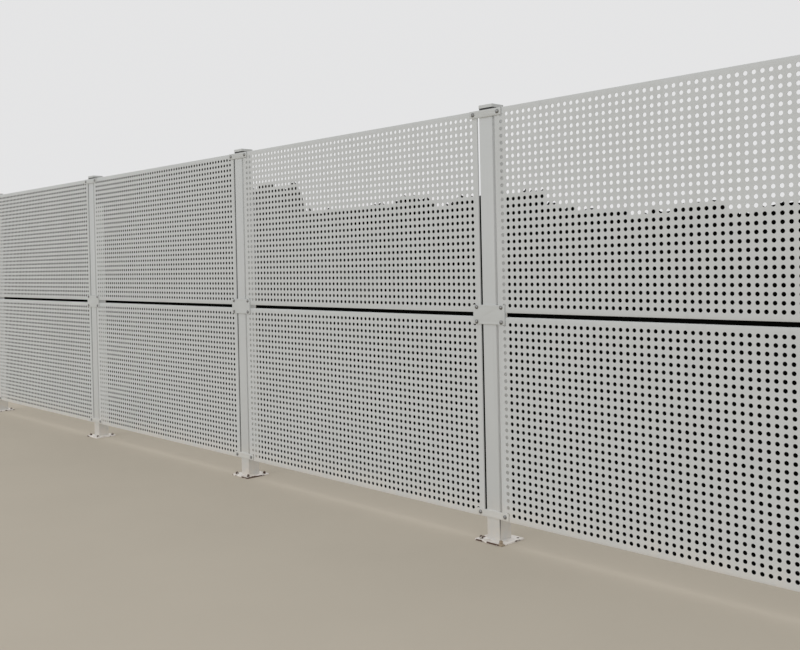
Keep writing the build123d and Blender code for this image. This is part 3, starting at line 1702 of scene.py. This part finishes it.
@dataclass(frozen=True)
class BackTop:
    """How high the backing of one bay reaches.

    Args:
        run: The run of its top, as distances from the bay's left post and heights.
        ragged: How far it wanders up and down.
    """

    run: tuple[tuple[float, float], ...]
    ragged: float = 0.0


@dataclass(frozen=True)
class DarkBacking:
    """The dark screens behind the fence, ragged at the top in its right half.

    In each bay one hangs so close behind the panels' folds that it doesn't show over the fence.
    Right of each post it stops, and a second one hangs level with the posts' backs, so that the
    nearest holes show the post's side. The strip at its top is closed under the folds too.

    Args:
        behind_folds: How far behind the folds the near screens hang.
        before_back: How far before the posts' backs the far screens hang.
        post_side: How far right of a post its near screen starts.
        far_width: How wide a far screen is.
        far_foot: The height of its lower edge.
        far_top: The most that its top reaches.
        full_top: The most that a near screen's top reaches.
        tops: The run of each bay's top.
    """

    behind_folds: float = 3 * MM
    before_back: float = 1 * MM
    post_side: float = 150 * MM
    far_width: float = 280 * MM
    far_foot: float = 0.11
    far_top: float = 2.24
    full_top: float = WHOLE_HEIGHT
    tops: tuple[BackTop, ...] = (
        BackTop(((0.0, WHOLE_HEIGHT), (BAY_REACH, WHOLE_HEIGHT))),
        BackTop(((0.0, WHOLE_HEIGHT), (BAY_REACH, WHOLE_HEIGHT))),
        BackTop(((0.0, 2.24), (0.65, 2.2), (0.73, 2.0), (BAY_REACH, 2.0)), 60 * MM),
        BackTop(((0.0, 1.98), (0.6, 1.88), (BAY_REACH, 1.79)), 60 * MM),
    )

    def build(self) -> None:
        """Hang the screens of every bay."""
        for bay, top in enumerate(self.tops, 1):
            left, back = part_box(f"post_{bay}")[1].xy
            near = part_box(f"{Level.UPPER.value}_{bay}")[1].y + self.behind_folds
            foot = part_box(f"{Level.LOWER.value}_{bay}")[0].z + self.behind_folds
            crest = tuple((left + max(along, self.post_side), height) for along, height in top.run)
            DarkScreen(f"near_screen_{bay}", near, foot, crest, self.full_top, top.ragged).build()
            start = min(top.run[0][1], self.far_top)
            crest = ((left, start), (left + self.far_width, start))
            far = back - self.before_back
            DarkScreen(f"far_screen_{bay}", far, self.far_foot, crest, self.far_top, top.ragged).build()
            if top.ragged == 0.0:
                crest = ((left, self.full_top), (left + self.post_side, self.full_top))
                DarkScreen(f"top_strip_{bay}", near, self.far_top, crest, self.full_top).build()


@dataclass(frozen=True)
class SoftSun:
    """Even light from one side of the sky.

    Args:
        name: The light's name.
        side: Where it comes from, seen from the fence.
        strength: Its strength.
        spread: How wide it is in the sky, in degrees.
    """

    name: str
    side: Triple
    strength: float
    spread: float

    def build(self) -> bpy.types.Object:
        """Hang the light.

        Returns:
            The light.
        """
        light = bpy.data.lights.new(self.name, "SUN")
        light.energy = self.strength
        light.angle = math.radians(self.spread)
        lamp = add_object(self.name, light)
        lamp.location = self.side
        lamp.rotation_euler = Vector(self.side).to_track_quat("Z", "Y").to_euler()
        return lamp


# The fence


@dataclass
class Hoarding:
    """The whole fence: its finishes, panels, posts and small parts.

    Args:
        panel_coat: The panels' coat.
        post_coat: The posts' coat.
        clamp_coat: The coat of the clamps and of the caps' lids.
        soiled_post: The number of the post with a dark line down its foot and soil on its plate.
        line_inset: How far the dark line lies inside the foot's corner.
        nut_heap: How far the soil reaches on that plate's anchors.
    """

    panel_coat: PowderCoat = PowderCoat("panel_coat", (0.612, 0.63, 0.629))
    post_coat: PowderCoat = PowderCoat(
        "post_coat", (0.602, 0.62, 0.619), streaks=replace(RAIN_STREAKS, inside=0.2)
    )
    clamp_coat: PowderCoat = PowderCoat(
        "clamp_coat", (0.59, 0.607, 0.60), streaks=replace(RAIN_STREAKS, inside=0.1)
    )
    soiled_post: int = 4
    line_inset: float = 2 * MM
    nut_heap: float = 75 * MM

    def build_panels(self, coat: bpy.types.Material, shaded_cut_edge: bpy.types.Material) -> None:
        """Make both trays once and hang them in every bay.

        Args:
            coat: The finish of their faces.
            shaded_cut_edge: The darker finish of their cut edges, painted shade.
        """
        bottom, under_slot, over_slot, top = PostDressing(1).bolt_heights()
        for level, heights in ((Level.LOWER, (bottom, under_slot)), (Level.UPPER, (over_slot, top))):
            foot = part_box(f"{level.value}_1")[0].z
            tray = PunchedTray(level, tuple(height - foot for height in heights))
            pattern = tray.mesh(coat, shaded_cut_edge)
            for bay in range(1, BAY_COUNT + 1):
                tray.hang(pattern, bay)

    def dark_lined_post(self) -> PowderCoat:
        """Add the dark line down the front right edge of the foot of the post with soil on its plate.

        Returns:
            The posts' coat with that line.
        """
        low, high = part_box(f"post_{self.soiled_post}")
        clamp_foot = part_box(f"{Clamp.BOTTOM.value}_{self.soiled_post}")[0].z
        top = Vector((high.x - self.line_inset, low.y + self.line_inset, clamp_foot))
        return replace(self.post_coat, lines=(DarkEdgeLine(top, clamp_foot - low.z),))

    def base_finishes(self) -> tuple[bpy.types.Material, bpy.types.Material]:
        """Make the finishes of what stands on the ground, with soil on one plate's front right corner.

        Returns:
            The base plates' material and the anchors' material.
        """
        post, *side = PostDressing.missing_anchor
        open_hole = PostDressing(post).anchor_place(*side)
        low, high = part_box(f"base_plate_{self.soiled_post}")
        corner = Vector((high.x, low.y, high.z))
        plate = SplashedPlate(SoilHeap(corner), open_hole)
        return plate.material(), RustySteel(SoilHeap(corner, self.nut_heap)).material()

    def build(self) -> None:
        """Make and dress every piece."""
        coats = self.panel_coat, self.dark_lined_post(), self.clamp_coat
        panel, post, clamp_plate = (coat.material() for coat in coats)
        plate, rust = self.base_finishes()
        # The near-black plastic paints the shade under the caps' lids and the bolts' heads
        zinc, black = ZINC_STEEL.material(), SHADE_DARK_PLASTIC.material()
        self.build_panels(panel, SHADED_CUT_EDGE.material())
        bolt = CoachBolt().mesh()
        anchor = Anchor(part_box("base_plate_1")[1].z).mesh()
        for number in range(1, POST_COUNT + 1):
            SoftenedSolid(f"post_{number}").build(post, Slot.POST)
            SoftenedSolid(f"base_plate_{number}").build(plate, Slot.PLATE)
            for clamp in Clamp:
                SoftenedSolid(f"{clamp.value}_{number}").build(clamp_plate, Slot.CLAMP)
            PostCap(number).build(clamp_plate, black)
            dressing = PostDressing(number)
            dressing.bolts(bolt, [zinc, black])
            dressing.welds(post)
            dressing.anchors(anchor, rust)


def main() -> None:
    """Build the fence and the studio."""
    logging.basicConfig(level=logging.INFO, format="%(message)s")
    PhotoCamera().build()
    Hoarding().build()
    Floor().build()
    DarkBacking().build()
    PaleStudio().build()
    SoftSun("street_light", (-6.0, -26.0, 6.0), 0.54, 30.0).build()
    SoftSun("back_light", (-8.0, 9.0, 7.0), 0.2, 60.0).build()
    bpy.context.scene.view_settings.view_transform = "Standard"


if __name__ == "__main__":
    main()
